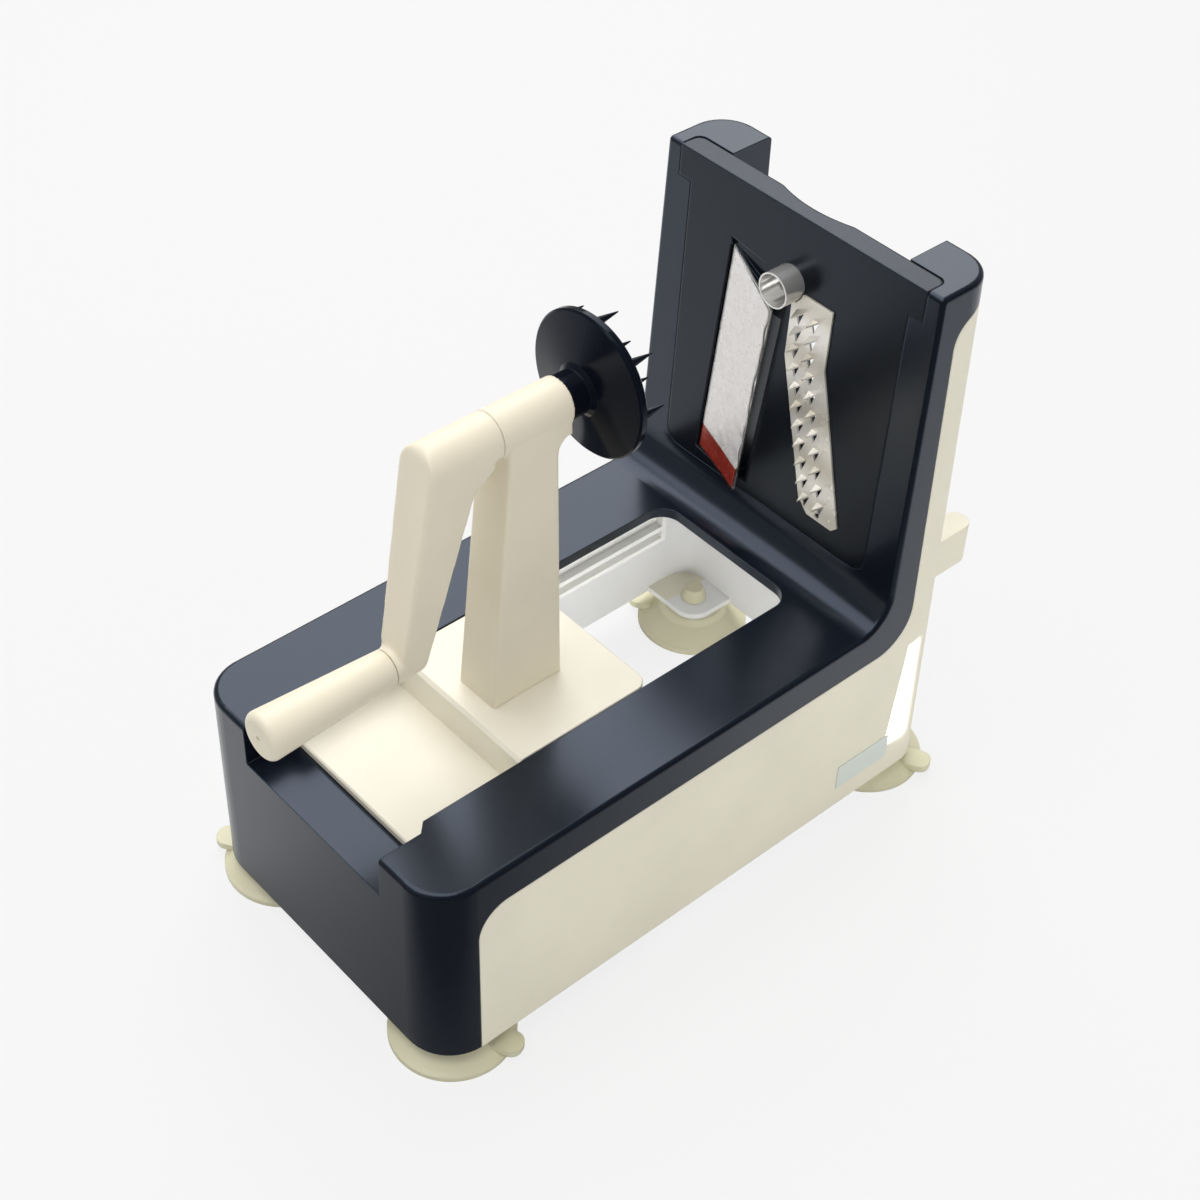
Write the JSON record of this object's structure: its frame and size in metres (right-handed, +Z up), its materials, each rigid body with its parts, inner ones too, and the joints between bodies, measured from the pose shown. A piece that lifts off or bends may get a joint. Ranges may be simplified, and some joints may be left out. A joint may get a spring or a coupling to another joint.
{
  "type": "spiralizer",
  "caption": "Hand-cranked spiral vegetable cutter: a sliding carriage with a crank and pronged disc feeds food into an upright blade insert; suction feet hold it down.",
  "frame": {"origin": "on the table, in the middle plane and under the middle of the housing's length", "axes": "+X from the crank end to the blade column, +Y to the left when looking that way, +Z up"},
  "size_m": [0.3305, 0.18, 0.2786],
  "materials": {
    "navy_plastic": "satin moulded",
    "cream_plastic": "satin moulded",
    "badge": "plain satin plate",
    "screw_steel": "zinc plated",
    "bush": "plain",
    "blade_steel": "polished",
    "film": "thin blank sheet",
    "foot_rubber": "soft moulded"
  },
  "bodies": {
    "housing": {"upper_housing": "navy_plastic", "base_shell": "cream_plastic", "guide_rail_left": "cream_plastic", "guide_rail_right": "cream_plastic", "housing_screws": "screw_steel", "side_badge": "badge", "suction_foot_front_left": "foot_rubber", "suction_foot_front_right": "foot_rubber", "suction_foot_rear_left": "foot_rubber", "suction_foot_rear_right": "foot_rubber"},
    "carriage": {"carriage_sled": "cream_plastic", "carriage_post": "cream_plastic", "post_screws": "screw_steel", "barrel_bushes": "bush"},
    "crank": {"crank_arm": "cream_plastic", "crank_shaft": "screw_steel", "prong_disc": "navy_plastic", "grip_spindle": "screw_steel"},
    "grip": {"handle_grip": "cream_plastic"},
    "insert": {"insert_plate": "navy_plastic", "straight_blade": "blade_steel", "blade_film": "film", "toothed_blade": "blade_steel", "coring_tube": "blade_steel"}
  },
  "joints": [
    {"name": "carriage_slide", "type": "slide", "parent": "housing", "child": "carriage", "axis": [1, 0, 0], "range_m": [-0.022, 0.081]},
    {"name": "crank_spin", "type": "hinge", "parent": "carriage", "child": "crank", "pos_m": [-0.035, 0, 0.2463], "axis": [1, 0, 0], "continuous": true},
    {"name": "grip_spin", "type": "hinge", "parent": "crank", "child": "grip", "pos_m": [-0.135, 0, 0.1563], "axis": [1, 0, 0], "continuous": true},
    {"name": "insert_lift", "type": "slide", "parent": "housing", "child": "insert", "axis": [0.0319, 0, 0.9995], "range_m": [0, 0.15]}
  ]
}
